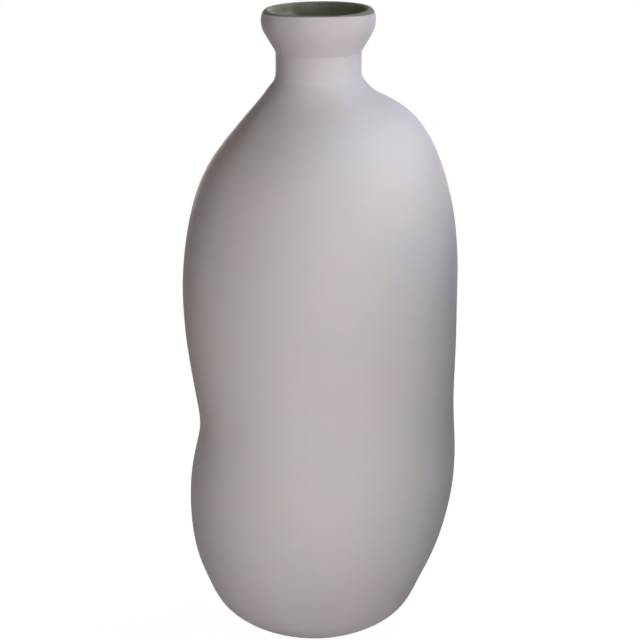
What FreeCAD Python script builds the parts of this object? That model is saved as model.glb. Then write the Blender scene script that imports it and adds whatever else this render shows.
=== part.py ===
import FreeCAD, Part
import math
import os
from collections import namedtuple

# Bottle vase with a wandering outline: a hollow glass vessel with a short neck, a cup-shaped
# glass collar on the neck's top, and a thin matte coat sprayed over the outside of both.
# Millimetres, +Z up. The origin is on the table, below the middle of the belly. The front of
# the vase, with the waist on its left, faces -Y.

# Overall sizes
vase_height = 510.0
belly_width = 219.0
belly_depth = 212.0

# Foot: the flat ring that the vase stands on, and the shallow dome inside it
foot_diameter = 90.0
foot_shift_left = 5.0
foot_shift_back = 4.0
foot_ring_width = 9.0
punt_rise = 5.0

# Neck: a round tube, a little to the left of the belly's middle
neck_diameter = 66.4
neck_length = 17.0
neck_shift_left = 1.2
neck_shift_back = 1.0

# Collar: a cone that opens upwards, bulges, and turns in to the lip. The height of its widest
# point is a share of its own height, and the radius of the bulge is a share of that. The crest
# of the lip lies inside the middle of the glass at the widest point by the inset.
collar_height = 33.0
collar_diameter = 88.8
collar_widest_share = 0.745
collar_bulge_share = 0.85
lip_inset = 2.2

# Glass and coat. The coat reaches over the lip's half round by a share of it, and the rest of
# the lip is bare.
wall_thickness = 4.5
floor_thickness = 11.0
coat_thickness = 0.3
coat_over_lip_share = 0.104
bare_foot_margin = 6.0

# How far a cutting tool runs past what it cuts
overrun = 5.0

# A ring is one level section of the wall: its height, and how far it reaches from the origin
# to each side. From side to side it is a quarter of an ellipse.
Ring = namedtuple("Ring", "z left right front back")

# Wall, from the heel to the shoulder. Heights are shares of the body's height, left and right
# are shares of half the belly's width, front and back are shares of half its depth.
WALL_SHARES = (
    Ring(0.040, 0.741, 0.646, 0.672, 0.736),
    Ring(0.090, 0.856, 0.761, 0.800, 0.858),
    Ring(0.144, 0.932, 0.862, 0.900, 0.926),
    Ring(0.218, 0.969, 0.954, 0.970, 0.956),
    Ring(0.279, 0.962, 0.995, 0.988, 0.958),
    Ring(0.329, 0.925, 1.002, 0.984, 0.940),
    Ring(0.373, 0.891, 0.995, 0.972, 0.914),
    Ring(0.428, 0.912, 0.987, 0.966, 0.892),
    Ring(0.513, 0.965, 0.996, 0.978, 0.912),
    Ring(0.622, 1.000, 1.000, 0.997, 0.974),
    Ring(0.742, 0.946, 0.977, 0.956, 0.992),
    Ring(0.838, 0.805, 0.880, 0.852, 0.914),
    Ring(0.904, 0.604, 0.745, 0.696, 0.760),
)

# Underside, from the foot's edge (0) to the heel (1)
UNDERSIDE_SHARES = (
    Ring(0.180, 0.335, 0.335, 0.335, 0.335),
    Ring(0.560, 0.705, 0.715, 0.715, 0.705),
)

# Top of the shoulder, from the last ring of the wall (0) to the neck's root (1)
SHOULDER_SHARES = (
    Ring(0.48, 0.56, 0.48, 0.51, 0.51),
    Ring(0.63, 0.72, 0.73, 0.72, 0.72),
    Ring(0.75, 0.84, 0.86, 0.85, 0.85),
    Ring(0.84, 0.94, 0.93, 0.93, 0.93),
)

# How the glass thins out from the floor to the wall, ring by ring from the foot
FLOOR_SHARES = (1.0, 0.92, 0.75, 0.50, 0.20, 0.05)

# Slopes of the outline where it leaves the foot and where it meets the neck
LEVEL_OUTWARDS = Ring(0, 1, 1, 1, 1)
STRAIGHT_UP = Ring(1, 0, 0, 0, 0)

# Rounds of the repeated solve for the slopes between, by which they have settled
SLOPE_ROUNDS = 60

# Sides and corners of the square round a section, from the right, and the weight of a corner
# that makes each quarter of the section a true quarter of an ellipse
COMPASS = ((1, 0), (1, 1), (0, 1), (-1, 1), (-1, 0), (-1, -1), (0, -1), (1, -1))
CORNER_WEIGHT = math.cos(math.radians(45))

# Sizes that follow from the ones above
body_height = vase_height - collar_height - neck_length
crease_height = body_height + neck_length
foot_radius = foot_diameter / 2
neck_radius = neck_diameter / 2
bore_radius = neck_radius - wall_thickness
collar_radius = collar_diameter / 2
widest_height = collar_widest_share * collar_height
bulge_radius = collar_bulge_share * widest_height
lip_rise = collar_height - wall_thickness / 2 - widest_height
turn_in_radius = (lip_inset**2 + lip_rise**2) / (2 * lip_inset) + wall_thickness / 2


def shifted_centre(shift_left, shift_back, height):
    """The point at a height on the upright axis of a foot or a neck."""
    return FreeCAD.Vector(-shift_left, shift_back, height)


def round_ring(z, radius, shift_left, shift_back):
    """A circular ring round a shifted axis."""
    return Ring(z, radius + shift_left, radius - shift_left, radius - shift_back, radius + shift_back)


def wall_ring(shares):
    """A ring of the wall from its shares of the body's height, width and depth."""
    half_width = belly_width / 2
    half_depth = belly_depth / 2
    return Ring(
        shares.z * body_height,
        shares.left * half_width,
        shares.right * half_width,
        shares.front * half_depth,
        shares.back * half_depth,
    )


def ring_between(start, end, shares):
    """A ring part of the way from one ring to another, with its own share for each side."""
    return Ring(*(a + share * (b - a) for a, b, share in zip(start, end, shares)))


def outer_rings():
    """The sections of the vessel's outside, from the foot to the neck's root."""
    foot = round_ring(0, foot_radius, foot_shift_left, foot_shift_back)
    neck_root = round_ring(body_height, neck_radius, neck_shift_left, neck_shift_back)
    wall = [wall_ring(shares) for shares in WALL_SHARES]
    underside = [ring_between(foot, wall[0], shares) for shares in UNDERSIDE_SHARES]
    shoulder = [ring_between(wall[-1], neck_root, shares) for shares in SHOULDER_SHARES]
    return [foot] + underside + wall + shoulder + [neck_root]


def mean_reach(ring):
    """The average of a ring's four reaches."""
    return (ring.left + ring.right + ring.front + ring.back) / 4


def ring_steps(rings):
    """The distances from ring to ring, along the average outline."""
    return [math.hypot(mean_reach(b) - mean_reach(a), b.z - a.z) for a, b in zip(rings, rings[1:])]


def slope_between(rings, steps, slopes):
    """The slope at the middle one of three rings that keeps the outline's bending smooth."""
    before, after = steps
    return Ring(
        *(
            (3 * ((b - a) / before**2 + (c - b) / after**2) - slope_a / before - slope_c / after)
            / (2 / before + 2 / after)
            for a, b, c, slope_a, slope_c in zip(*rings, *slopes)
        )
    )


def ring_slopes(rings):
    """How fast each value of each ring changes along the average outline."""
    steps = ring_steps(rings)
    slopes = [LEVEL_OUTWARDS] + [STRAIGHT_UP] * (len(rings) - 1)
    for _ in range(SLOPE_ROUNDS):
        for i in range(1, len(rings) - 1):
            around = (slopes[i - 1], slopes[i + 1])
            slopes[i] = slope_between(rings[i - 1 : i + 2], steps[i - 1 : i + 1], around)
    return slopes


def moved_out(rings, distances):
    """The rings moved square to the average outline: outwards, or inwards where negative."""
    moved = []
    for ring, slope, distance in zip(rings, ring_slopes(rings), distances):
        spread = mean_reach(slope)
        length = math.hypot(slope.z, spread)
        out = distance * slope.z / length
        down = distance * spread / length
        moved.append(Ring(ring.z - down, *(reach + out for reach in ring[1:])))
    return moved


def section_poles(ring):
    """The eight poles of a ring's ellipses."""
    middle_x = (ring.right - ring.left) / 2
    middle_y = (ring.back - ring.front) / 2
    half_x = (ring.right + ring.left) / 2
    half_y = (ring.back + ring.front) / 2
    return [
        FreeCAD.Vector(middle_x + east * half_x, middle_y + north * half_y, ring.z)
        for east, north in COMPASS
    ]


def smooth_side(rings):
    """The face that runs smoothly through the rings."""
    steps = ring_steps(rings)
    slopes = ring_slopes(rings)
    pole_rings = [rings[0]]
    for i, step in enumerate(steps):
        pole_rings.append(Ring(*(a + step * d / 3 for a, d in zip(rings[i], slopes[i]))))
        pole_rings.append(Ring(*(a - step * d / 3 for a, d in zip(rings[i + 1], slopes[i + 1]))))
    pole_rings.append(rings[-1])
    side = Part.BSplineSurface()
    side.buildFromPolesMultsKnots(
        poles=[section_poles(ring) for ring in pole_rings],
        umults=[4] + [2] * (len(rings) - 2) + [4],
        vmults=[2] * 5,
        uknots=[sum(steps[:i]) for i in range(len(rings))],
        vknots=list(range(5)),
        uperiodic=False,
        vperiodic=True,
        udegree=3,
        vdegree=2,
        weights=[[CORNER_WEIGHT if east and north else 1.0 for east, north in COMPASS]]
        * len(pole_rings),
    )
    return side.toShape()


def is_rim(edge):
    """True for an edge that goes round at one level, not for the seam."""
    return edge.BoundBox.ZLength < coat_thickness / 2


def outward(solid):
    """The solid, turned the right way out."""
    if solid.Volume < 0:
        solid.reverse()
    return solid


def barrel(rings):
    """The solid inside the smooth side through the rings, with flat ends."""
    side = smooth_side(rings)
    ends = [Part.Face(Part.Wire([edge])) for edge in side.Edges if is_rim(edge)]
    shell = Part.Shell([side] + ends)
    shell.sewShape()
    return outward(Part.Solid(shell))


def neck_tube(radius, top):
    """An upright cylinder on the neck's axis, from the neck's root up."""
    base = shifted_centre(neck_shift_left, neck_shift_back, body_height)
    return Part.makeCylinder(radius, top - body_height, base)


def filled_vessel():
    """The vessel without its hollow: the body with the neck on it."""
    return barrel(outer_rings()).fuse(neck_tube(neck_radius, crease_height))


def hollow():
    """What the vessel's glass leaves free, from the floor to above the neck."""
    rings = outer_rings()
    extra = floor_thickness - wall_thickness
    shares = FLOOR_SHARES + (0,) * (len(rings) - len(FLOOR_SHARES))
    body = barrel(moved_out(rings, [-wall_thickness - extra * share for share in shares]))
    return body.fuse(neck_tube(bore_radius, crease_height + overrun))


def punt():
    """The ball whose cap is the shallow dome inside the foot ring."""
    dome_radius = foot_radius - foot_ring_width
    ball_radius = (dome_radius**2 + punt_rise**2) / (2 * punt_rise)
    centre = shifted_centre(foot_shift_left, foot_shift_back, punt_rise - ball_radius)
    return Part.makeSphere(ball_radius, centre)


def vessel():
    """Body and neck, blown in one piece of glass."""
    return filled_vessel().cut(hollow()).cut(punt())


def on_collar(radius, height):
    """A point at the right of the collar, by its radius and its height over the crease."""
    foot_of_axis = shifted_centre(neck_shift_left, neck_shift_back, crease_height)
    return foot_of_axis + FreeCAD.Vector(radius, 0, height)


def on_arc(glass_radius, skin, angle):
    """A point of one of the two arcs that meet, upright, at the collar's widest point.

    The arc has its radius in the outside of the glass, and is moved out by a skin. The angle
    is counted upwards from the widest point.
    """
    radius = glass_radius + skin
    centre = collar_radius - glass_radius
    return on_collar(centre + radius * math.cos(angle), widest_height + radius * math.sin(angle))


def cone_angle(skin):
    """The angle at which the bulge runs into the cone, both moved out by a skin."""
    across = collar_radius - bulge_radius - neck_radius - skin
    distance = math.hypot(across, widest_height)
    slope = math.atan2(widest_height, across) - math.asin((bulge_radius + skin) / distance)
    return slope - math.radians(90)


def lip_angle():
    """The angle at which the glass, turning in above the widest point, ends in the lip."""
    return math.asin(lip_rise / (turn_in_radius - wall_thickness / 2))


def lip_round(skin, share):
    """A share of the lip's half round, from its outer end, as points on it moved out by a skin."""
    radius = wall_thickness / 2 + skin
    angle = lip_angle()
    middle = on_arc(turn_in_radius, -wall_thickness / 2, angle)
    angles = [angle + part * share * math.pi for part in (0, 0.5, 1)]
    return [middle + FreeCAD.Vector(radius * math.cos(a), 0, radius * math.sin(a)) for a in angles]


def collar_outline(skin):
    """The collar's side from the crease to the lip, as edges, moved out by a skin."""
    low = cone_angle(skin)
    high = lip_angle()
    cone_end, bulge, widest = [on_arc(bulge_radius, skin, angle) for angle in (low, low / 2, 0)]
    turn_in, lip = [on_arc(turn_in_radius, skin, angle) for angle in (high / 2, high)]
    return [
        Part.LineSegment(on_collar(neck_radius + skin, 0), cone_end).toShape(),
        Part.Arc(cone_end, bulge, widest).toShape(),
        Part.Arc(widest, turn_in, lip).toShape(),
    ]


def collar_seat(inner, outer):
    """The collar's flat underside between two radii, as an edge."""
    return Part.LineSegment(on_collar(inner, 0), on_collar(outer, 0)).toShape()


def turned(edges):
    """The solid that a closed outline sweeps in a full turn about the neck's axis."""
    face = Part.Face(Part.Wire(Part.__sortEdges__(edges)))
    return outward(face.revolve(on_collar(0, 0), FreeCAD.Vector(0, 0, 1), 360))


def collar():
    """The cup-shaped collar with its rounded lip, a ring of glass on the neck's end."""
    lip = Part.Arc(*lip_round(0, 1)).toShape()
    sides = collar_outline(0) + collar_outline(-wall_thickness)
    return turned(sides + [lip, collar_seat(bore_radius, neck_radius)])


def vessel_coat():
    """The coat from the bare foot to the crease under the collar."""
    rings = outer_rings()
    skin = barrel(moved_out(rings, [coat_thickness] * len(rings)))
    neck = neck_tube(neck_radius + coat_thickness, crease_height)
    bare_base = shifted_centre(foot_shift_left, foot_shift_back, -overrun)
    bare = Part.makeCylinder(foot_radius + bare_foot_margin, 2 * overrun, bare_base)
    return skin.fuse(neck).cut(filled_vessel()).cut(bare)


def collar_coat():
    """The coat from the crease to its edge on the lip's round."""
    rounds = [lip_round(skin, coat_over_lip_share) for skin in (0, coat_thickness)]
    ends = [
        collar_seat(neck_radius, neck_radius + coat_thickness),
        Part.LineSegment(*(points[-1] for points in rounds)).toShape(),
    ]
    over_lip = [Part.Arc(*points).toShape() for points in rounds]
    return turned(collar_outline(0) + collar_outline(coat_thickness) + over_lip + ends)


def coat():
    """The matte coat, one skin over the outside of the vessel and the collar."""
    return vessel_coat().fuse(collar_coat())


def save(name, shape):
    """Writes a piece as a STEP file, once it is seen to be one sound solid."""
    solids = shape.removeSplitter().Solids
    assert len(solids) == 1, f"{name} is {len(solids)} solids"
    piece = solids[0]
    assert piece.isValid() and piece.Volume > 0, f"{name} isn't a sound solid"
    piece.exportStep(os.path.join("parts", name + ".step"))
    box = piece.optimalBoundingBox(False, False)
    print(f"{name}: {piece.Volume:.0f} mm3, {box.XLength:.1f} x {box.YLength:.1f} x {box.ZLength:.1f} mm")


def main():
    """Builds every piece of the vase."""
    os.makedirs("parts", exist_ok=True)
    save("glass_vessel", vessel())
    save("glass_collar", collar())
    save("matte_coat", coat())


if __name__ == "__main__":
    main()
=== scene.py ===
"""A mouth-blown bottle vase: dark smoke glass under a sprayed, satin-matt greige coat.

Lengths are in metres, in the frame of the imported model: +Z up, the front with the waist on its
left towards -Y, the origin on the table below the middle of the belly.
"""

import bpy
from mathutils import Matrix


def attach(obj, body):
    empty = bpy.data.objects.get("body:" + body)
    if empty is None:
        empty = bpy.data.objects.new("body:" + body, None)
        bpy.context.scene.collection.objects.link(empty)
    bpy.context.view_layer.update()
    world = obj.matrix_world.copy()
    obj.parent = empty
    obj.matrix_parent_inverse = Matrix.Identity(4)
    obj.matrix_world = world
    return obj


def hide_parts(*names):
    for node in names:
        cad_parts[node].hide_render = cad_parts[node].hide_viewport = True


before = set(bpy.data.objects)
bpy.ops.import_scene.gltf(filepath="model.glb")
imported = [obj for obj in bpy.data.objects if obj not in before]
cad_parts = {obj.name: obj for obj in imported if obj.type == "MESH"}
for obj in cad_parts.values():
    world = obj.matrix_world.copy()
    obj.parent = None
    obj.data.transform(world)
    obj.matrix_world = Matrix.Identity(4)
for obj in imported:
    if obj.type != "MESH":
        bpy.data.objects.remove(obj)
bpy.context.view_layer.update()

import logging
import math
from dataclasses import dataclass, field
from enum import Enum

import bpy
import numpy as np
from mathutils import Vector

log = logging.getLogger("bottle_vase")

MM = 0.001
BODY = "root"
PHOTO_PIXELS = 640
SENSOR_MM = 36.0
# Hoops that differ by less than this in every value are one
SAME_PLACE = 1e-7
# Most values of a noise texture lie between these
NOISE_LOW, NOISE_HIGH = 0.3, 0.7
# The Mix node's sockets for its share and its two colours, and the one that gives the mix
MIX_SHARE, MIX_A, MIX_B, MIX_COLOUR = 0, 6, 7, 2


# How surfaces are put together

class Ends(Enum):
    """How the first and the last hoop of a lofted surface are closed."""

    LOOP = "the last hoop is joined to the first"
    POLES = "each end closes in a point"


class Finish(Enum):
    """The finishes of the glass pieces, in the order of their material slots."""

    FIRE_POLISHED = 0
    GROUND = 1


@dataclass(frozen=True)
class Hoops:
    """A run of level rings, each a row of middle x, middle y, half width, half depth and height."""

    rows: np.ndarray

    @classmethod
    def round_axis(cls, axis: tuple[float, float], line: np.ndarray) -> "Hoops":
        """Turns a line about an upright axis.

        Args:
            axis: x and y of the axis.
            line: rows of radius and height.

        Returns:
            One circular hoop for each point of the line.
        """
        radii, heights = line.T
        middle_x = np.full(len(line), axis[0])
        middle_y = np.full(len(line), axis[1])
        return cls(np.column_stack([middle_x, middle_y, radii, radii, heights]))

    @classmethod
    def from_reaches(cls, reaches: np.ndarray) -> "Hoops":
        """Makes hoops from how far each level reaches to its four sides.

        Args:
            reaches: rows of height, left, right, front and back.

        Returns:
            One elliptic hoop for each row.
        """
        z, left, right, front, back = reaches.T
        middles = [(right - left) / 2, (back - front) / 2]
        halves = [(right + left) / 2, (back + front) / 2]
        return cls(np.column_stack([*middles, *halves, z]))

    def turned_round(self) -> "Hoops":
        """The same hoops, last one first."""
        return Hoops(self.rows[::-1])

    def then(self, *others: "Hoops") -> "Hoops":
        """Puts others after these hoops.

        Args:
            others: the hoops that follow, in their order.

        Returns:
            All of them, where a hoop that repeats the one before it is left out.
        """
        rows = np.vstack([self.rows] + [other.rows for other in others])
        new = np.abs(np.diff(rows, axis=0)).max(axis=1) > SAME_PLACE
        return Hoops(rows[np.concatenate([[True], new])])

    def points(self, columns: int) -> np.ndarray:
        """The vertices of all hoops.

        Args:
            columns: how many vertices go round each hoop.

        Returns:
            An array of hoops by columns by x, y and z.
        """
        angles = np.arange(columns) * (2 * math.pi / columns)
        middle_x, middle_y, half_x, half_y, z = (value[:, None] for value in self.rows.T)
        x = middle_x + half_x * np.cos(angles)
        y = middle_y + half_y * np.sin(angles)
        return np.stack([x, y, np.broadcast_to(z, x.shape)], axis=-1)


@dataclass(frozen=True)
class BlowersHand:
    """What blowing by hand leaves behind: slow swells in the wall and a lip that isn't level.

    Every piece is moved by the same field, so that the coat stays on the glass.
    """

    swell_height: float = 0.16 * MM
    longest_swell: float = 95 * MM
    shortest_swell: float = 38 * MM
    swells: int = 14
    lip_tilt_deg: float = 0.43
    lip_wander: float = 0.22 * MM
    wander_phase: float = 0.7
    tilt_from: float = 458 * MM
    tilt_to: float = 500 * MM
    # The swells die out towards the table and towards the axis
    calm_height: float = 20 * MM
    calm_radius: float = 20 * MM
    seed: int = 51

    def moved(self, points: np.ndarray) -> np.ndarray:
        """Moves points as the hand did.

        Args:
            points: an array whose last axis is x, y and z.

        Returns:
            The moved points, in the same order.
        """
        rng = np.random.default_rng(self.seed)
        directions = rng.normal(size=(self.swells, 3))
        directions /= np.linalg.norm(directions, axis=1)[:, None]
        lengths = rng.uniform(self.shortest_swell, self.longest_swell, self.swells)
        phases = rng.uniform(0, 2 * math.pi, self.swells)
        waves = points @ (directions * (2 * math.pi / lengths)[:, None]).T + phases
        swell = np.sin(waves).sum(axis=-1) * self.swell_height / math.sqrt(self.swells)
        x, y, z = points[..., 0], points[..., 1], points[..., 2]
        radius = np.maximum(np.hypot(x, y), MM)
        clear_of_table = np.clip(z / self.calm_height, 0, 1)
        clear_of_axis = np.clip(radius / self.calm_radius, 0, 1)
        out = swell * clear_of_table * clear_of_axis
        share = np.clip((z - self.tilt_from) / (self.tilt_to - self.tilt_from), 0, 1)
        share = share * share * (3 - 2 * share)
        wander = self.lip_wander * np.sin(2 * np.arctan2(y, x) + self.wander_phase)
        lift = share * (x * math.tan(math.radians(self.lip_tilt_deg)) + wander)
        return np.stack([x + out * x / radius, y + out * y / radius, z + lift], axis=-1)


def loft(name: str, hoops: Hoops, columns: int, ends: Ends, hand: BlowersHand) -> bpy.types.Object:
    """Builds a smooth closed mesh through hoops.

    Args:
        name: the name of the new object.
        hoops: the hoops, in such an order that they run upwards where the surface faces out.
        columns: how many faces go round.
        ends: how the surface is closed.
        hand: how the hand-made shape departs from the hoops.

    Returns:
        The object, linked to the scene.
    """
    grid = hand.moved(hoops.points(columns))
    rings = len(grid)
    index = np.arange(rings * columns).reshape(rings, columns)
    beside = np.roll(index, -1, axis=1)
    if ends is Ends.LOOP:
        low, high = index, np.roll(index, -1, axis=0)
        low_beside, high_beside = beside, np.roll(beside, -1, axis=0)
        faces = np.stack([low, low_beside, high_beside, high], axis=-1).reshape(-1, 4).tolist()
        vertices = grid.reshape(-1, 3)
    else:
        # The two poles come first, in place of the first and the last hoop
        poles = np.stack([grid[0].mean(axis=0), grid[-1].mean(axis=0)])
        vertices = np.vstack([poles, grid[1:-1].reshape(-1, 3)])
        inner = index[1:-1] + len(poles) - columns
        inner_beside = beside[1:-1] + len(poles) - columns
        quads = np.stack([inner[:-1], inner_beside[:-1], inner_beside[1:], inner[1:]], axis=-1)
        start = np.column_stack([np.zeros(columns, int), inner_beside[0], inner[0]])
        end = np.column_stack([np.ones(columns, int), inner[-1], inner_beside[-1]])
        faces = quads.reshape(-1, 4).tolist() + start.tolist() + end.tolist()
    mesh = bpy.data.meshes.new(name)
    mesh.from_pydata(vertices.tolist(), [], faces)
    mesh.polygons.foreach_set("use_smooth", [True] * len(mesh.polygons))
    mesh.update()
    piece = bpy.data.objects.new(name, mesh)
    bpy.context.scene.collection.objects.link(piece)
    return piece


def steps_between(start: float, end: float, spacing: float) -> np.ndarray:
    """Evenly spaced values from start to end, no further apart than the spacing."""
    count = max(2, math.ceil(abs(end - start) / spacing) + 1)
    return np.linspace(start, end, count)


# The shapes that the pieces share

class ReachSpline:
    """A smooth run through level rings, each a row of height, left, right, front and back."""

    LEVEL_OUTWARDS = (0, 1, 1, 1, 1)
    STRAIGHT_UP = (1, 0, 0, 0, 0)

    def __init__(self, rings: np.ndarray) -> None:
        """Takes the rings and works out the slopes between them.

        Args:
            rings: rows of height, left, right, front and back.
        """
        self.rings = rings
        self.steps = np.hypot(np.diff(rings[:, 1:].mean(axis=1)), np.diff(rings[:, 0]))
        self.knots = np.concatenate([[0], np.cumsum(self.steps)])
        self.slopes = self._slopes()

    def _slopes(self) -> np.ndarray:
        """Solves for the slopes at which the run bends without a jump.

        Returns:
            For each ring, how fast each of its values changes along the run.
        """
        count = len(self.rings)
        matrix = np.eye(count)
        wanted = np.zeros((count, 5))
        wanted[0] = self.LEVEL_OUTWARDS
        wanted[-1] = self.STRAIGHT_UP
        changes = np.diff(self.rings, axis=0) / self.steps[:, None] ** 2
        for i in range(1, count - 1):
            before, after = 1 / self.steps[i - 1], 1 / self.steps[i]
            matrix[i, i - 1 : i + 2] = before, 2 * (before + after), after
            wanted[i] = 3 * (changes[i - 1] + changes[i])
        return np.linalg.solve(matrix, wanted)

    def moved_out(self, distances: np.ndarray) -> "ReachSpline":
        """The run moved square to itself.

        Args:
            distances: how far each ring moves outwards, or inwards where negative.

        Returns:
            The moved run.
        """
        spread = self.slopes[:, 1:].mean(axis=1)
        up = self.slopes[:, 0]
        length = np.hypot(up, spread)
        out = (distances * up / length)[:, None]
        down = (distances * spread / length)[:, None]
        return ReachSpline(self.rings + np.hstack([-down, np.repeat(out, 4, axis=1)]))

    def at(self, distances: np.ndarray) -> np.ndarray:
        """The rings at distances along the run.

        Args:
            distances: distances from the run's start.

        Returns:
            A row of height and four reaches for each distance.
        """
        last = len(self.steps) - 1
        i = np.clip(np.searchsorted(self.knots, distances, side="right") - 1, 0, last)
        step = self.steps[i][:, None]
        t = (distances - self.knots[i])[:, None] / step
        u = 1 - t
        here = self.rings[i] * (1 + 2 * t) * u**2 + self.slopes[i] * step * t * u**2
        there = self.rings[i + 1] * t**2 * (3 - 2 * t) - self.slopes[i + 1] * step * t**2 * u
        return here + there


@dataclass(frozen=True)
class BlownOutline:
    """The wandering outside of the blown body, from the foot to the neck's root."""

    height: float = 460 * MM
    belly_width: float = 219 * MM
    belly_depth: float = 212 * MM
    foot_radius: float = 45 * MM
    foot_axis: tuple[float, float] = (-5 * MM, 4 * MM)
    neck_radius: float = 33.2 * MM
    neck_axis: tuple[float, float] = (-1.2 * MM, 1.0 * MM)
    wall: float = 4.5 * MM
    floor: float = 11 * MM
    # Rows of height, left, right, front and back, in shares of height, half width or half depth
    wall_shares: tuple[tuple[float, ...], ...] = (
        (0.040, 0.741, 0.646, 0.672, 0.736),
        (0.090, 0.856, 0.761, 0.800, 0.858),
        (0.144, 0.932, 0.862, 0.900, 0.926),
        (0.218, 0.969, 0.954, 0.970, 0.956),
        (0.279, 0.962, 0.995, 0.988, 0.958),
        (0.329, 0.925, 1.002, 0.984, 0.940),
        (0.373, 0.891, 0.995, 0.972, 0.914),
        (0.428, 0.912, 0.987, 0.966, 0.892),
        (0.513, 0.965, 0.996, 0.978, 0.912),
        (0.622, 1.000, 1.000, 0.997, 0.974),
        (0.742, 0.946, 0.977, 0.956, 0.992),
        (0.838, 0.805, 0.880, 0.852, 0.914),
        (0.904, 0.604, 0.745, 0.696, 0.760),
    )
    # The same five values on the way from the foot's edge (0) to the wall's first row (1)
    underside_shares: tuple[tuple[float, ...], ...] = (
        (0.180, 0.335, 0.335, 0.335, 0.335),
        (0.560, 0.705, 0.715, 0.715, 0.705),
    )
    # The same on the way from the wall's last row (0) to the neck's root (1)
    shoulder_shares: tuple[tuple[float, ...], ...] = (
        (0.48, 0.56, 0.48, 0.51, 0.51),
        (0.63, 0.72, 0.73, 0.72, 0.72),
        (0.75, 0.84, 0.86, 0.85, 0.85),
        (0.84, 0.94, 0.93, 0.93, 0.93),
    )
    # How far the lowest rings thicken, from the wall's thickness (0) to the floor's (1)
    floor_shares: tuple[float, ...] = (1.0, 0.92, 0.75, 0.50, 0.20, 0.05)

    def _round_ring(self, z: float, radius: float, axis: tuple[float, float]) -> np.ndarray:
        """The reaches of a circle round a shifted axis."""
        x, y = axis
        return np.array([z, radius - x, radius + x, radius - y, radius + y])

    def outside(self) -> ReachSpline:
        """The outside of the glass.

        Returns:
            The run from the foot's edge to the neck's root.
        """
        half_width, half_depth = self.belly_width / 2, self.belly_depth / 2
        scale = np.array([self.height, half_width, half_width, half_depth, half_depth])
        wall = np.array(self.wall_shares) * scale
        foot = self._round_ring(0, self.foot_radius, self.foot_axis)
        root = self._round_ring(self.height, self.neck_radius, self.neck_axis)
        underside = foot + np.array(self.underside_shares) * (wall[0] - foot)
        shoulder = wall[-1] + np.array(self.shoulder_shares) * (root - wall[-1])
        return ReachSpline(np.vstack([foot, underside, wall, shoulder, root]))

    def coated(self, thickness: float) -> ReachSpline:
        """The outside of a coat of even thickness on the glass."""
        outside = self.outside()
        return outside.moved_out(np.full(len(outside.rings), thickness))

    def inside(self) -> ReachSpline:
        """The inside of the glass, which thickens towards the floor.

        Returns:
            The run from the floor's edge to the bore of the neck.
        """
        outside = self.outside()
        thicker = np.zeros(len(outside.rings))
        thicker[: len(self.floor_shares)] = self.floor_shares
        return outside.moved_out(-self.wall - (self.floor - self.wall) * thicker)


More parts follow.
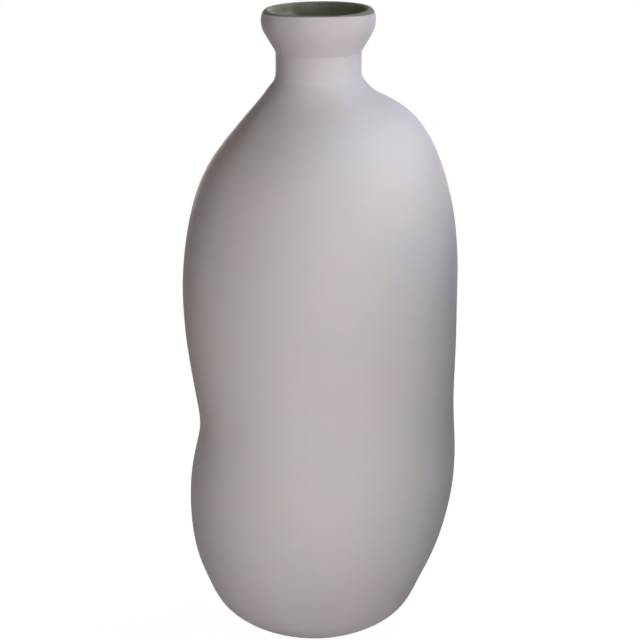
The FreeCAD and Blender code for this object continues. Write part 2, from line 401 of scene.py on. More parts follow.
@dataclass(frozen=True)
class CollarShape:
    """The cup-shaped collar: a cone that opens upwards, bulges, and turns in to a round lip."""

    crease_height: float = 477 * MM
    axis: tuple[float, float] = (-1.2 * MM, 1.0 * MM)
    neck_radius: float = 33.2 * MM
    height: float = 33 * MM
    radius: float = 44.4 * MM
    widest_share: float = 0.745
    bulge_share: float = 0.85
    lip_inset: float = 2.2 * MM
    wall: float = 4.5 * MM
    spacing: float = 1.1 * MM
    crease_step: float = math.radians(6)

    @property
    def widest_height(self) -> float:
        """Height of the widest point over the crease."""
        return self.widest_share * self.height

    @property
    def bulge_radius(self) -> float:
        """Radius of the bulge below the widest point."""
        return self.bulge_share * self.widest_height

    @property
    def lip_rise(self) -> float:
        """Height of the lip's middle over the widest point."""
        return self.height - self.wall / 2 - self.widest_height

    @property
    def turn_in_radius(self) -> float:
        """Radius of the outside above the widest point."""
        return (self.lip_inset**2 + self.lip_rise**2) / (2 * self.lip_inset) + self.wall / 2

    @property
    def lip_angle(self) -> float:
        """Angle at which the glass ends in the lip."""
        return math.asin(self.lip_rise / (self.turn_in_radius - self.wall / 2))

    def _arc(self, glass_radius: float, skin: float, start: float, end: float) -> np.ndarray:
        """Points of an arc that stands upright at the widest point.

        Args:
            glass_radius: the arc's radius in the outside of the glass.
            skin: how far the line lies outside the glass.
            start: first angle, counted upwards from the widest point.
            end: last angle.

        Returns:
            Rows of radius and height.
        """
        radius = glass_radius + skin
        angles = steps_between(start, end, self.spacing / radius)
        across = self.radius - glass_radius + radius * np.cos(angles)
        up = self.crease_height + self.widest_height + radius * np.sin(angles)
        return np.column_stack([across, up])

    def side(self, skin: float, crease_round: float) -> np.ndarray:
        """The collar's side from the crease to the lip.

        Args:
            skin: how far the line lies outside the glass, or inside where negative.
            crease_round: radius of the hollow round in the crease.

        Returns:
            Rows of radius and height, from just below the crease.
        """
        neck = self.neck_radius + skin
        across = self.radius - self.bulge_radius - neck
        distance = math.hypot(across, self.widest_height)
        slope = math.atan2(self.widest_height, across)
        rise = slope - math.asin((self.bulge_radius + skin) / distance)
        tangent = crease_round * math.tan((math.pi / 2 - rise) / 2)
        turn = steps_between(math.pi, math.pi / 2 + rise, self.crease_step)
        crease = np.column_stack(
            [
                neck + crease_round * (1 + np.cos(turn)),
                self.crease_height - tangent + crease_round * np.sin(turn),
            ]
        )
        bulge = self._arc(self.bulge_radius, skin, rise - math.pi / 2, 0)
        run = np.linalg.norm(bulge[0] - crease[-1])
        shares = steps_between(0, 1, self.spacing / run)[:, None]
        cone = crease[-1] + shares * (bulge[0] - crease[-1])
        turn_in = self._arc(self.turn_in_radius, skin, 0, self.lip_angle)
        return np.vstack([crease, cone[1:], bulge[1:], turn_in[1:]])

    def lip(self, skins: np.ndarray, shares: np.ndarray) -> np.ndarray:
        """Points over the lip's half round.

        Args:
            skins: how far each point lies outside the glass.
            shares: where each point lies, from the outer end (0) to the inner end (1).

        Returns:
            Rows of radius and height.
        """
        middle = self._arc(self.turn_in_radius, -self.wall / 2, self.lip_angle, self.lip_angle)[0]
        angles = self.lip_angle + shares * math.pi
        radii = self.wall / 2 + skins
        return middle + np.column_stack([radii * np.cos(angles), radii * np.sin(angles)])


# Colours and finishes

def linear(hex_colour: str) -> tuple[float, float, float, float]:
    """Turns an sRGB hex colour into the linear colour that the shaders take.

    Args:
        hex_colour: the colour, such as #BEB7B6.

    Returns:
        Red, green, blue and an alpha of 1.
    """
    values = [int(hex_colour[i : i + 2], 16) / 255 for i in (1, 3, 5)]
    # The sRGB curve is straight near black and a power above it
    red, green, blue = (v / 12.92 if v <= 0.04045 else ((v + 0.055) / 1.055) ** 2.4 for v in values)
    return red, green, blue, 1.0


def add_node(
    tree: bpy.types.NodeTree,
    kind: str,
    settings: dict[str, object] | None = None,
    inputs: dict[str | int, object] | None = None,
) -> bpy.types.Node:
    """Adds one node with its settings and links.

    Args:
        tree: the node tree to add to.
        kind: the node's type.
        settings: values of the node itself.
        inputs: for each input, a socket to link from or a value to set.

    Returns:
        The new node.
    """
    node = tree.nodes.new(kind)
    for name, value in (settings or {}).items():
        setattr(node, name, value)
    for name, value in (inputs or {}).items():
        if isinstance(value, bpy.types.NodeSocket):
            tree.links.new(value, node.inputs[name])
        else:
            node.inputs[name].default_value = value
    return node


def empty_material(name: str) -> tuple[bpy.types.Material, bpy.types.NodeTree]:
    """Makes a material with an empty node tree.

    Args:
        name: the material's name.

    Returns:
        The material and its node tree.
    """
    material = bpy.data.materials.new(name)
    material.use_nodes = True
    material.node_tree.nodes.clear()
    return material, material.node_tree


def per_metre(size: float) -> float:
    """The texture scale at which one cell of a pattern has a real size."""
    return 1 / size


@dataclass(frozen=True)
class SatinLacquer:
    """Water-based acrylic lacquer, tinted greige, sprayed on in thin passes and dried in air.

    The matting powder in it scatters the shine into one broad, dull highlight. The passes
    leave a barely uneven tone, and the droplets a fine grain like that of an eggshell.
    """

    warm_tone: str = "#C0B9B4"
    cool_tone: str = "#BBB8B8"
    bare_and_shaded_lip_tone: str = "#6B6A63"
    roughness_low: float = 0.56
    roughness_high: float = 0.66
    ior: float = 1.47
    # The powder's pits take most of the mirror shine away, at the edges above all
    shine: float = 0.12
    pass_size: float = 70 * MM
    cloud_size: float = 9 * MM
    # How much the clouds add to the passes, and where their sum is all cool or all warm
    cloud_share: float = 0.35
    cool_below: float = 0.45
    warm_above: float = 0.90
    # Sprayed droplets are near 0.1 mm, too fine to show, so the grain is drawn at 0.9 mm
    grain_size: float = 0.9 * MM
    grain_height: float = 0.006 * MM
    # Orange peel: the slow ripple that a sprayed film keeps as it levels
    peel_size: float = 3.5 * MM
    peel_height: float = 0.012 * MM
    # Painted shade: near the top of the lip the coat is drawn in a dark tone, lower at the left and
    # the right. It stands for the lip's bare glass, drawn darker than that glass, as shade on the
    # crest
    bare_and_shaded_from: float = 508.9 * MM
    bare_and_shaded_fade: float = 0.7 * MM
    bare_and_shaded_dip: float = 1.9 * MM
    lip_reach: float = 42.5 * MM

    def material(self) -> bpy.types.Material:
        """Builds the lacquer.

        Returns:
            The material.
        """
        material, tree = empty_material("satin_acrylic_lacquer_sprayed")
        place = add_node(tree, "ShaderNodeTexCoord").outputs["Object"]
        passes, clouds, peel, grain = (
            add_node(
                tree,
                "ShaderNodeTexNoise",
                inputs={"Vector": place, "Scale": per_metre(size), "Detail": detail},
            )
            for size, detail in (
                (self.pass_size, 2.0),
                (self.cloud_size, 4.0),
                (self.peel_size, 1.0),
                (self.grain_size, 2.0),
            )
        )
        blend = add_node(
            tree,
            "ShaderNodeMath",
            {"operation": "MULTIPLY_ADD"},
            {0: clouds.outputs["Fac"], 1: self.cloud_share, 2: passes.outputs["Fac"]},
        )
        tone = add_node(
            tree,
            "ShaderNodeMapRange",
            {"interpolation_type": "SMOOTHSTEP"},
            {
                "Value": blend.outputs[0],
                "From Min": self.cool_below,
                "From Max": self.warm_above,
            },
        )
        even = add_node(
            tree,
            "ShaderNodeMix",
            {"data_type": "RGBA"},
            {
                MIX_SHARE: tone.outputs[0],
                MIX_A: linear(self.cool_tone),
                MIX_B: linear(self.warm_tone),
            },
        )
        coordinates = add_node(tree, "ShaderNodeSeparateXYZ", inputs={0: place})
        sideways = add_node(
            tree,
            "ShaderNodeMath",
            {"operation": "MULTIPLY"},
            {0: coordinates.outputs["X"], 1: coordinates.outputs["X"]},
        )
        lifted = add_node(
            tree,
            "ShaderNodeMath",
            {"operation": "MULTIPLY_ADD"},
            {
                0: sideways.outputs[0],
                1: self.bare_and_shaded_dip / self.lip_reach**2,
                2: coordinates.outputs["Z"],
            },
        )
        # Painted shade: the dark band on the lip's crest, lower at the left and the right
        bare_and_shaded = add_node(
            tree,
            "ShaderNodeMapRange",
            {"interpolation_type": "SMOOTHSTEP"},
            {
                "Value": lifted.outputs[0],
                "From Min": self.bare_and_shaded_from,
                "From Max": self.bare_and_shaded_from + self.bare_and_shaded_fade,
            },
        )
        colour = add_node(
            tree,
            "ShaderNodeMix",
            {"data_type": "RGBA"},
            {
                MIX_SHARE: bare_and_shaded.outputs[0],
                MIX_A: even.outputs[MIX_COLOUR],
                MIX_B: linear(self.bare_and_shaded_lip_tone),
            },
        )
        roughness = add_node(
            tree,
            "ShaderNodeMapRange",
            inputs={
                "Value": clouds.outputs["Fac"],
                "From Min": NOISE_LOW,
                "From Max": NOISE_HIGH,
                "To Min": self.roughness_low,
                "To Max": self.roughness_high,
            },
        )
        ripple = add_node(
            tree,
            "ShaderNodeBump",
            inputs={"Strength": 1.0, "Distance": self.peel_height, "Height": peel.outputs["Fac"]},
        )
        surface = add_node(
            tree,
            "ShaderNodeBump",
            inputs={
                "Strength": 1.0,
                "Distance": self.grain_height,
                "Height": grain.outputs["Fac"],
                "Normal": ripple.outputs["Normal"],
            },
        )
        shader = add_node(
            tree,
            "ShaderNodeBsdfPrincipled",
            inputs={
                "Base Color": colour.outputs[MIX_COLOUR],
                "Roughness": roughness.outputs[0],
                "IOR": self.ior,
                "Specular IOR Level": self.shine,
                "Normal": surface.outputs["Normal"],
            },
        )
        add_node(tree, "ShaderNodeOutputMaterial", inputs={"Surface": shader.outputs[0]})
        return material


@dataclass(frozen=True)
class SmokeGlass:
    """Soda-lime glass tinted smoke grey in the melt, blown and left with its fire polish.

    Backed by the coat it lets no light through: to the eye it is a dark, wet-looking olive
    grey that mirrors what is bright, with faint cords from the gathering and a few seeds.
    """

    # Far lighter than smoke glass is, because so little light gets into the mouth
    deep_tone: str = "#939288"
    light_tone: str = "#A8A79B"
    roughness_low: float = 0.12
    roughness_high: float = 0.18
    ior: float = 1.52
    # A breath of overspray in the mouth takes the edge off the mirror shine, most on the lip
    shine: float = 0.12
    overspray_and_shade_from: float = 506.0 * MM
    overspray_and_shade_to: float = 508.5 * MM
    overspray_roughness: float = 0.62
    # Painted shade: over the same heights the glass on the lip's crest is drawn in this darker tone
    painted_lip_shade_tone: str = "#66655E"
    # Cords: slow streaks drawn round the gather, a few centimetres apart
    cord_size: float = 30 * MM
    cord_flattening: float = 2.6
    cord_waviness: float = 0.6
    cord_height: float = 0.07 * MM
    # Seeds: bubbles about a millimetre across, some two centimetres apart
    seed_spacing: float = 17 * MM
    seed_radius: float = 0.55 * MM
    seed_height: float = 0.12 * MM

    def material(self) -> bpy.types.Material:
        """Builds the fire-polished glass.

        Returns:
            The material.
        """
        material, tree = empty_material("smoke_soda_lime_glass_blown")
        place = add_node(tree, "ShaderNodeTexCoord").outputs["Object"]
        drawn = add_node(
            tree,
            "ShaderNodeMapping",
            inputs={"Vector": place, "Scale": (1, 1, self.cord_flattening)},
        )
        cords = add_node(
            tree,
            "ShaderNodeTexNoise",
            inputs={
                "Vector": drawn.outputs[0],
                "Scale": per_metre(self.cord_size),
                "Detail": 2.0,
                "Distortion": self.cord_waviness,
            },
        )
        colour = add_node(
            tree,
            "ShaderNodeMix",
            {"data_type": "RGBA"},
            {
                MIX_SHARE: cords.outputs["Fac"],
                MIX_A: linear(self.deep_tone),
                MIX_B: linear(self.light_tone),
            },
        )
        roughness = add_node(
            tree,
            "ShaderNodeMapRange",
            inputs={
                "Value": cords.outputs["Fac"],
                "From Min": NOISE_LOW,
                "From Max": NOISE_HIGH,
                "To Min": self.roughness_low,
                "To Max": self.roughness_high,
            },
        )
        coordinates = add_node(tree, "ShaderNodeSeparateXYZ", inputs={0: place})
        lip = add_node(
            tree,
            "ShaderNodeMapRange",
            {"interpolation_type": "SMOOTHSTEP"},
            {
                "Value": coordinates.outputs["Z"],
                "From Min": self.overspray_and_shade_from,
                "From Max": self.overspray_and_shade_to,
            },
        )
        dulled = add_node(
            tree,
            "ShaderNodeMapRange",
            inputs={
                "Value": lip.outputs[0],
                "To Min": roughness.outputs[0],
                "To Max": self.overspray_roughness,
            },
        )
        # Painted shade: the glass darkens towards the lip's crest
        toned = add_node(
            tree,
            "ShaderNodeMix",
            {"data_type": "RGBA"},
            {
                MIX_SHARE: lip.outputs[0],
                MIX_A: colour.outputs[MIX_COLOUR],
                MIX_B: linear(self.painted_lip_shade_tone),
            },
        )
        cells = add_node(
            tree,
            "ShaderNodeTexVoronoi",
            {"feature": "F1"},
            {"Vector": place, "Scale": per_metre(self.seed_spacing)},
        )
        seeds = add_node(
            tree,
            "ShaderNodeMapRange",
            {"interpolation_type": "SMOOTHSTEP"},
            {
                "Value": cells.outputs["Distance"],
                "From Min": self.seed_radius / self.seed_spacing,
                "From Max": 0.0,
            },
        )
        streaks = add_node(
            tree,
            "ShaderNodeBump",
            inputs={"Strength": 1.0, "Distance": self.cord_height, "Height": cords.outputs["Fac"]},
        )
        surface = add_node(
            tree,
            "ShaderNodeBump",
            inputs={
                "Strength": 1.0,
                "Distance": self.seed_height,
                "Height": seeds.outputs[0],
                "Normal": streaks.outputs["Normal"],
            },
        )
        shader = add_node(
            tree,
            "ShaderNodeBsdfPrincipled",
            inputs={
                "Base Color": toned.outputs[MIX_COLOUR],
                "Roughness": dulled.outputs[0],
                "IOR": self.ior,
                "Specular IOR Level": self.shine,
                "Normal": surface.outputs["Normal"],
            },
        )
        add_node(tree, "ShaderNodeOutputMaterial", inputs={"Surface": shader.outputs[0]})
        return material


@dataclass(frozen=True)
class GroundGlass:
    """The same glass where the foot was ground flat on a turning wheel with grit.

    The grit leaves it pale and matt, with fine scratches round the foot's middle.
    """

    dark_tone: str = "#6A6B65"
    pale_tone: str = "#8C8D87"
    roughness: float = 0.62
    ior: float = 1.52
    # The grit's scratches are near 0.1 mm apart, and drawn 0.7 mm apart so that they show
    scratch_spacing: float = 0.7 * MM
    scratch_height: float = 0.01 * MM
    scratch_wander: float = 3.0
    middle: tuple[float, float] = (-5 * MM, 4 * MM)

    def material(self) -> bpy.types.Material:
        """Builds the ground glass.

        Returns:
            The material.
        """
        material, tree = empty_material("smoke_soda_lime_glass_ground")
        place = add_node(tree, "ShaderNodeTexCoord").outputs["Object"]
        middle_x, middle_y = self.middle
        centred = add_node(
            tree,
            "ShaderNodeMapping",
            inputs={"Vector": place, "Location": (-middle_x, -middle_y, 0)},
        )
        # At a scale of one, the wave texture's rings lie a tenth of pi apart
        scratches = add_node(
            tree,
            "ShaderNodeTexWave",
            {"wave_type": "RINGS", "rings_direction": "Z"},
            {
                "Vector": centred.outputs[0],
                "Scale": per_metre(self.scratch_spacing) * math.pi / 10,
                "Distortion": self.scratch_wander,
                "Detail": 3.0,
                "Detail Scale": 2.0,
            },
        )
        colour = add_node(
            tree,
            "ShaderNodeMix",
            {"data_type": "RGBA"},
            {
                MIX_SHARE: scratches.outputs["Fac"],
                MIX_A: linear(self.dark_tone),
                MIX_B: linear(self.pale_tone),
            },
        )
        surface = add_node(
            tree,
            "ShaderNodeBump",
            inputs={
                "Strength": 1.0,
                "Distance": self.scratch_height,
                "Height": scratches.outputs["Fac"],
            },
        )
        shader = add_node(
            tree,
            "ShaderNodeBsdfPrincipled",
            inputs={
                "Base Color": colour.outputs[MIX_COLOUR],
                "Roughness": self.roughness,
                "IOR": self.ior,
                "Normal": surface.outputs["Normal"],
            },
        )
        add_node(tree, "ShaderNodeOutputMaterial", inputs={"Surface": shader.outputs[0]})
        return material


# The pieces

@dataclass(frozen=True)
class GlassVessel:
    """Body and neck, blown in one piece, with a dome pushed up under the foot."""

    outline: BlownOutline = field(default_factory=BlownOutline)
    hand: BlowersHand = field(default_factory=BlowersHand)
    crease_height: float = 477 * MM
    bore_round: float = 3.0 * MM
    foot_ring: float = 9 * MM
    punt_rise: float = 5 * MM
    foot_edge_round: float = 0.6 * MM
    foot_edge_rows: int = 5
    # The neck's last hoop but one lies this far below the crease
    crease_gap: float = 0.3 * MM
    # A face is ground where its middle lies below this height and its normal's z below this
    ground_below: float = 0.05 * MM
    ground_facing: float = -0.9
    columns: int = 240
    spacing: float = 3.6 * MM

    def _punt(self) -> Hoops:
        """The dome under the foot and the flat ring round it.

        Returns:
            Hoops from the dome's top to the foot's outer edge.
        """
        rim = self.outline.foot_radius - self.foot_ring
        ball = (rim**2 + self.punt_rise**2) / (2 * self.punt_rise)
        radii = steps_between(0, rim - self.foot_edge_round, self.spacing)
        dome = np.column_stack([radii, self.punt_rise - ball + np.sqrt(ball**2 - radii**2)])
        turn = np.linspace(0, 1, self.foot_edge_rows)[1:]
        start = dome[-1]
        edge = np.column_stack(
            [
                start[0] + 2 * self.foot_edge_round * turn,
                start[1] * (1 - turn) ** 2,
            ]
        )
        across = steps_between(edge[-1, 0], self.outline.foot_radius, MM)[1:]
        flat = np.column_stack([across, np.zeros(len(across))])
        return Hoops.round_axis(self.outline.foot_axis, np.vstack([dome, edge, flat]))

    def _wall(self, run: ReachSpline) -> Hoops:
        """The hoops along one side of the wall."""
        return Hoops.from_reaches(run.at(steps_between(0, run.knots[-1], self.spacing)))

    def _neck(self) -> Hoops:
        """The neck's outside.

        Returns:
            Hoops from the neck's root to the crease.
        """
        end = self.crease_height - self.crease_gap
        heights = steps_between(self.outline.height, end, self.spacing)
        heights = np.append(heights, self.crease_height)
        line = np.column_stack([np.full(len(heights), self.outline.neck_radius), heights])
        return Hoops.round_axis(self.outline.neck_axis, line)

    def build(self, collar: CollarShape) -> bpy.types.Object:
        """Builds the vessel's mesh.

        Args:
            collar: the collar that sits on the neck, whose bore the neck's bore runs into.

        Returns:
            The object.
        """
        inner_side = collar.side(-collar.wall, self.bore_round)
        joint = np.interp(self.crease_height, inner_side[:, 1], inner_side[:, 0])
        below = inner_side[inner_side[:, 1] < self.crease_height]
        bore_radius = self.outline.neck_radius - self.outline.wall
        heights = steps_between(self.outline.height, below[0, 1], self.spacing)
        straight = np.column_stack([np.full(len(heights), bore_radius), heights])
        bore = np.vstack([straight, below, [joint, self.crease_height]])
        floor_radii = steps_between(0, self.outline.foot_radius, self.spacing)
        floor = np.column_stack([floor_radii, np.full(len(floor_radii), self.outline.floor)])
        hoops = self._punt().then(
            self._wall(self.outline.outside()),
            self._neck(),
            Hoops.round_axis(self.outline.neck_axis, bore).turned_round(),
            self._wall(self.outline.inside()).turned_round(),
            Hoops.round_axis(self.outline.foot_axis, floor).turned_round(),
        )
        return loft("blown_vessel", hoops, self.columns, Ends.POLES, self.hand)

    def dress(
        self, piece: bpy.types.Object, polished: bpy.types.Material, ground: bpy.types.Material
    ) -> None:
        """Gives the vessel its two finishes and its place in the model.

        Args:
            piece: the vessel.
            polished: the fire-polished glass.
            ground: the glass as ground under the foot.
        """
        piece.data.materials.append(polished)
        piece.data.materials.append(ground)
        for face in piece.data.polygons:
            on_table = face.center.z < self.ground_below and face.normal.z < self.ground_facing
            face.material_index = (Finish.GROUND if on_table else Finish.FIRE_POLISHED).value
        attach(piece, BODY)
        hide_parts("glass_vessel")


@dataclass(frozen=True)
class GlassCollar:
    """The ring of glass worked onto the neck's end, with its round lip."""

    shape: CollarShape = field(default_factory=CollarShape)
    hand: BlowersHand = field(default_factory=BlowersHand)
    bore_round: float = 3.0 * MM
    crease_round: float = 0.3 * MM
    columns: int = 240
    lip_rows: int = 22

    def build(self) -> bpy.types.Object:
        """Builds the collar's mesh.

        Returns:
            The object.
        """
        crease = self.shape.crease_height
        outer = self.shape.side(0, self.crease_round)
        outer = np.vstack([[self.shape.neck_radius, crease], outer[outer[:, 1] > crease]])
        inner = self.shape.side(-self.shape.wall, self.bore_round)
        joint = np.interp(crease, inner[:, 1], inner[:, 0])
        inner = np.vstack([[joint, crease], inner[inner[:, 1] > crease]])
        shares = np.linspace(0, 1, self.lip_rows)[1:-1]
        lip = self.shape.lip(np.zeros(len(shares)), shares)
        line = np.vstack([outer, lip, inner[::-1]])
        hoops = Hoops.round_axis(self.shape.axis, line)
        return loft("worked_collar", hoops, self.columns, Ends.LOOP, self.hand)

    def dress(self, piece: bpy.types.Object, polished: bpy.types.Material) -> None:
        """Gives the collar its finish and its place in the model.

        Args:
            piece: the collar.
            polished: the fire-polished glass.
        """
        piece.data.materials.append(polished)
        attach(piece, BODY)
        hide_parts("glass_collar")


@dataclass(frozen=True)
class MatteCoat:
    """The sprayed skin over vessel and collar, from the bare foot to its edge on the lip."""

    outline: BlownOutline = field(default_factory=BlownOutline)
    collar: CollarShape = field(default_factory=CollarShape)
    hand: BlowersHand = field(default_factory=BlowersHand)
    thickness: float = 0.3 * MM
    bare_foot: float = 6 * MM
    over_lip_share: float = 0.104
    crease_round: float = 0.55 * MM
    feather: float = 1.6 * MM
    # The share of the coat's thickness that is gone at its very edge
    edge_loss: float = 0.85
    columns: int = 240
    spacing: float = 3.0 * MM
    hidden_spacing: float = 7.5 * MM
    lip_rows: int = 8

    def _body(self, run: ReachSpline, spacing: float) -> Hoops:
        """The hoops over the body, from the coat's lower edge up.

        Args:
            run: the outside or the inside of the coat.
            spacing: how far apart the hoops are.

        Returns:
            The hoops up to the neck's root.
        """
        # The coat's lower edge lies in the first quarter of the run
        fine = steps_between(0, run.knots[-1] / 4, MM / 4)
        reach = run.at(fine)[:, 1:].mean(axis=1)
        start = np.interp(self.outline.foot_radius + self.bare_foot, reach, fine)
        return Hoops.from_reaches(run.at(steps_between(start, run.knots[-1], spacing)))

    def _top(self, skin: float, spacing: float) -> Hoops:
        """The hoops over neck, collar and lip, from the neck's root up.

        Args:
            skin: how far the surface lies outside the glass.
            spacing: how far apart the hoops of the neck are.

        Returns:
            The hoops up to the coat's edge on the lip.
        """
        side = self.collar.side(skin, self.crease_round)
        heights = steps_between(self.outline.height, side[0, 1], spacing)[:-1]
        neck = np.column_stack([np.full(len(heights), side[0, 0]), heights])
        shares = np.linspace(0, self.over_lip_share, self.lip_rows)[1:]
        lip = self.collar.lip(np.full(len(shares), skin), shares)
        return Hoops.round_axis(self.collar.axis, np.vstack([neck, side, lip]))

    def build(self) -> bpy.types.Object:
        """Builds the coat's mesh.

        Returns:
            The object.
        """
        outer = self._body(self.outline.coated(self.thickness), self.spacing).then(
            self._top(self.thickness, self.spacing)
        )
        inner = self._body(self.outline.outside(), self.hidden_spacing).then(
            self._top(0, self.hidden_spacing)
        )
        hoops = self._feathered(outer, inner).then(inner.turned_round())
        return loft("sprayed_coat", hoops, self.columns, Ends.LOOP, self.hand)

    def _feathered(self, outer: Hoops, inner: Hoops) -> Hoops:
        """Thins the coat towards its two edges, as spray does.

        Args:
            outer: the coat's outside.
            inner: the glass below it, from edge to edge.

        Returns:
            The outside, brought down to the glass over the feather's length.
        """
        rows = outer.rows.copy()
        line = np.column_stack([rows[:, 2:4].mean(axis=1), rows[:, 4]])
        glass = np.column_stack([inner.rows[:, 2:4].mean(axis=1), inner.rows[:, 4]])
        for end in (0, -1):
            run = np.linalg.norm(line - line[end], axis=1)
            near = np.flatnonzero(run < self.feather)
            drop = glass[end] - line[end]
            share = (1 - run[near] / self.feather) ** 2 * self.edge_loss
            rows[near, 2] += drop[0] * share
            rows[near, 3] += drop[0] * share
            rows[near, 4] += drop[1] * share
        return Hoops(rows)

    def dress(self, piece: bpy.types.Object, lacquer: bpy.types.Material) -> None:
        """Gives the coat its finish and its place in the model.

        Args:
            piece: the coat.
            lacquer: the sprayed lacquer.
        """
        piece.data.materials.append(lacquer)
        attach(piece, BODY)
        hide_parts("matte_coat")


# The studio

@dataclass(frozen=True)
class Softbox:
    """A rectangular studio lamp that shines at a point on or in the vase."""

    name: str
    place: tuple[float, float, float]
    width: float
    height: float
    watts: float
    tint: str = "#FFFFFF"
    aim: tuple[float, float, float] = (0.0, 0.0, 0.27)
    # How wide the beam is: a grid over the softbox narrows it
    beam_deg: float = 180.0

    def build(self) -> bpy.types.Object:
        """Adds the lamp to the scene.

        Returns:
            The lamp.
        """
        light = bpy.data.lights.new(self.name, "AREA")
        light.shape = "RECTANGLE"
        light.size = self.width
        light.size_y = self.height
        light.energy = self.watts
        light.spread = math.radians(self.beam_deg)
        light.color = linear(self.tint)[:3]
        lamp = bpy.data.objects.new(self.name, light)
        lamp.location = self.place
        beam = Vector(self.aim) - Vector(self.place)
        lamp.rotation_euler = beam.to_track_quat("-Z", "Y").to_euler()
        bpy.context.scene.collection.objects.link(lamp)
        return lamp


@dataclass(frozen=True)
class PhotoCamera:
    """The camera at the photograph's place: in front, raised, and looking a little down."""

    distance: float = 1.6
    height: float = 743.41 * MM
    pitch_deg: float = 16.83
    focal_pixels: float = 2075.98
    clip_end: float = 50.0

    def build(self) -> bpy.types.Object:
        """Adds the camera and makes it the scene's.

        Returns:
            The camera.
        """
        data = bpy.data.cameras.new("photo_camera")
        data.sensor_width = SENSOR_MM
        data.lens = SENSOR_MM * self.focal_pixels / PHOTO_PIXELS
        data.clip_end = self.clip_end
        camera = bpy.data.objects.new("photo_camera", data)
        camera.location = (0.0, -self.distance, self.height)
        camera.rotation_euler = (math.radians(90 - self.pitch_deg), 0.0, 0.0)
        bpy.context.scene.collection.objects.link(camera)
        bpy.context.scene.camera = camera
        return camera


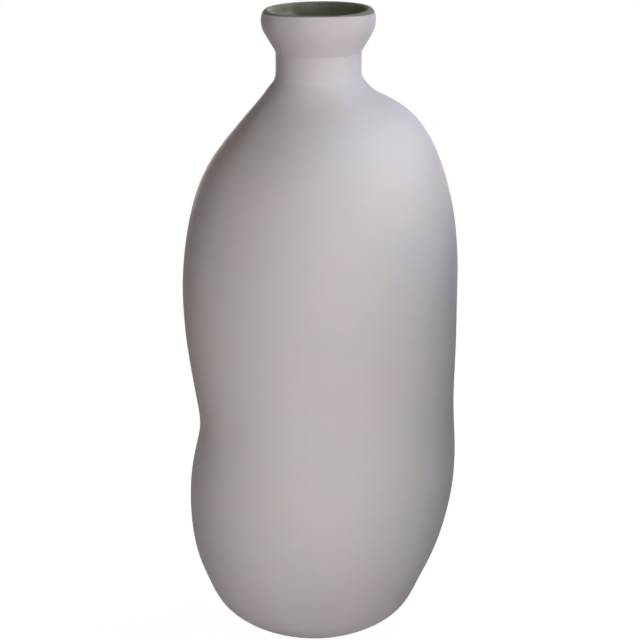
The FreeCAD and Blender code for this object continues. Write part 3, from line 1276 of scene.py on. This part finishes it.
@dataclass(frozen=True)
class Studio:
    """A paper floor that runs out into plain white, in a pale room lit by softboxes."""

    floor_half_width: float = 4.0
    floor_tone: str = "#959594"
    # Added to the lit paper for the eye alone, so that it looks white beside the shadow
    floor_glow: float = 0.92
    # The floor takes the shadow out to the first distance and is plain white from the second
    shadow_reach: float = 0.45
    plain_from: float = 0.95
    room_tone: str = "#FFFFFF"
    room_strength: float = 0.06
    lamps: tuple[Softbox, ...] = (
        Softbox("front_softbox", (0.0, -2.0, 0.375), 0.6, 0.6, 20.5, "#FFE5D9"),
        Softbox(
            "right_front_softbox", (0.415, -1.954, 0.355), 0.5, 0.5, 0.47, "#BEE0FF",
            aim=(0.0, 0.0, 0.25), beam_deg=28.0,
        ),
        Softbox(
            "low_left_spot", (-0.481, -1.93, 0.309), 0.3, 0.3, 0.040, "#E6F6FF",
            aim=(0.0, 0.0, 0.10), beam_deg=8.0,
        ),
        Softbox(
            "belly_spot", (0.0, -1.989, 0.479), 0.3, 0.3, 0.020, "#FFE8BE",
            aim=(0.0, 0.0, 0.27), beam_deg=8.0,
        ),
        Softbox(
            "high_right_spot", (0.481, -1.93, 0.649), 0.3, 0.3, 0.040, "#CCEEFF",
            aim=(0.0, 0.0, 0.44), beam_deg=8.0,
        ),
        Softbox(
            "shoulder_spot", (1.003, -0.096, 1.149), 0.12, 0.12, 0.037, "#D5E5FF",
            aim=(0.06, -0.03, 0.41), beam_deg=9.0,
        ),
        Softbox(
            "neck_softbox", (0.431, -0.249, 0.529), 0.2, 0.2, 0.080, "#FFF1F7",
            aim=(0.0, 0.0, 0.485), beam_deg=50.0,
        ),
        Softbox(
            "mouth_softbox", (0.465, -0.316, 1.32), 0.12, 0.20, 0.10, "#FFFFFF",
            aim=(0.0, 0.0, 0.5), beam_deg=60.0,
        ),
        Softbox(
            "mouth_rear_spot", (0.0, 0.5, 1.374), 0.05, 0.05, 0.022, "#FFFFFF",
            aim=(0.0, 0.0, 0.508), beam_deg=3.5,
        ),
        Softbox(
            "mouth_side_spot", (0.787, 0.142, 1.086), 0.05, 0.05, 0.012, "#FFFFFF",
            aim=(-0.02, 0.0, 0.512), beam_deg=4.0,
        ),
        Softbox("high_rear_softbox", (0.598, 0.598, 2.083), 0.6, 0.6, 3.5, "#F8F6FF"),
        Softbox(
            "left_rear_softbox", (-0.518, 1.93, 0.18), 0.8, 0.3, 11.5, "#FFEAED",
            aim=(0.0, 0.0, 0.18),
        ),
        Softbox(
            "right_rear_softbox", (0.684, 1.879, 0.18), 0.8, 0.3, 4.5, "#FFFFFF",
            aim=(0.0, 0.0, 0.18),
        ),
        Softbox("rear_softbox", (0.0, 1.95, 0.25), 0.9, 0.4, 13.0, "#FFFFFF", aim=(0.0, 0.0, 0.25)),
    )

    def _lit_rays(self, tree: bpy.types.NodeTree) -> bpy.types.NodeSocket:
        """One for rays that look at the background, in a mirror or through glass too.

        Args:
            tree: the node tree to add to.

        Returns:
            The socket with the value.
        """
        path = add_node(tree, "ShaderNodeLightPath")
        seen = path.outputs["Is Camera Ray"]
        for kind in ("Is Glossy Ray", "Is Transmission Ray"):
            either = add_node(
                tree, "ShaderNodeMath", {"operation": "MAXIMUM"}, {0: seen, 1: path.outputs[kind]}
            )
            seen = either.outputs[0]
        return seen

    def _floor(self) -> bpy.types.Object:
        """The floor, which takes the vase's shadow.

        Returns:
            The floor.
        """
        half = self.floor_half_width
        corners = [(-half, -half, 0), (half, -half, 0), (half, half, 0), (-half, half, 0)]
        mesh = bpy.data.meshes.new("floor")
        mesh.from_pydata(corners, [], [(0, 1, 2, 3)])
        floor = bpy.data.objects.new("floor", mesh)
        bpy.context.scene.collection.objects.link(floor)
        material, tree = empty_material("white_paper_floor")
        seen = self._lit_rays(tree)
        place = add_node(tree, "ShaderNodeTexCoord").outputs["Object"]
        reach = add_node(tree, "ShaderNodeVectorMath", {"operation": "LENGTH"}, {0: place})
        fade = add_node(
            tree,
            "ShaderNodeMapRange",
            {"interpolation_type": "SMOOTHSTEP"},
            {
                "Value": reach.outputs["Value"],
                "From Min": self.shadow_reach,
                "From Max": self.plain_from,
            },
        )
        paper = add_node(tree, "ShaderNodeBsdfDiffuse", inputs={"Color": linear(self.floor_tone)})
        lift = add_node(
            tree, "ShaderNodeMath", {"operation": "MULTIPLY"}, {0: seen, 1: self.floor_glow}
        )
        glow = add_node(tree, "ShaderNodeEmission", inputs={"Strength": lift.outputs[0]})
        near = add_node(
            tree, "ShaderNodeAddShader", inputs={0: paper.outputs[0], 1: glow.outputs[0]}
        )
        plain = add_node(tree, "ShaderNodeEmission", inputs={"Strength": seen})
        both = add_node(
            tree,
            "ShaderNodeMixShader",
            inputs={0: fade.outputs[0], 1: near.outputs[0], 2: plain.outputs[0]},
        )
        add_node(tree, "ShaderNodeOutputMaterial", inputs={"Surface": both.outputs[0]})
        mesh.materials.append(material)
        return floor

    def _room(self) -> None:
        """The room round the vase: plain white to the eye, dimmer as a light."""
        world = bpy.data.worlds.new("pale_room")
        world.use_nodes = True
        tree = world.node_tree
        tree.nodes.clear()
        strength = add_node(
            tree,
            "ShaderNodeMapRange",
            inputs={"Value": self._lit_rays(tree), "To Min": self.room_strength, "To Max": 1.0},
        )
        room = add_node(
            tree,
            "ShaderNodeBackground",
            inputs={"Color": linear(self.room_tone), "Strength": strength.outputs[0]},
        )
        add_node(tree, "ShaderNodeOutputWorld", inputs={"Surface": room.outputs[0]})
        bpy.context.scene.world = world

    def build(self) -> None:
        """Puts up the floor, the room and the lamps."""
        self._floor()
        self._room()
        for lamp in self.lamps:
            lamp.build()
            log.info("lamp %s, %.3g W", lamp.name, lamp.watts)
        bpy.context.scene.view_settings.view_transform = "Standard"


def report(piece: bpy.types.Object) -> None:
    """Writes a piece's name and the number of its faces to the log."""
    log.info("piece %s, %d faces", piece.name, len(piece.data.polygons))


def main() -> None:
    """Builds the camera, the pieces and the studio, in that order."""
    logging.basicConfig(level=logging.INFO, format="%(name)s: %(message)s")
    PhotoCamera().build()
    polished = SmokeGlass().material()
    ground = GroundGlass().material()
    lacquer = SatinLacquer().material()

    vessel = GlassVessel()
    blown = vessel.build(CollarShape())
    vessel.dress(blown, polished, ground)
    report(blown)

    collar = GlassCollar()
    worked = collar.build()
    collar.dress(worked, polished)
    report(worked)

    coat = MatteCoat()
    sprayed = coat.build()
    coat.dress(sprayed, lacquer)
    report(sprayed)

    Studio().build()


if __name__ == "__main__":
    main()
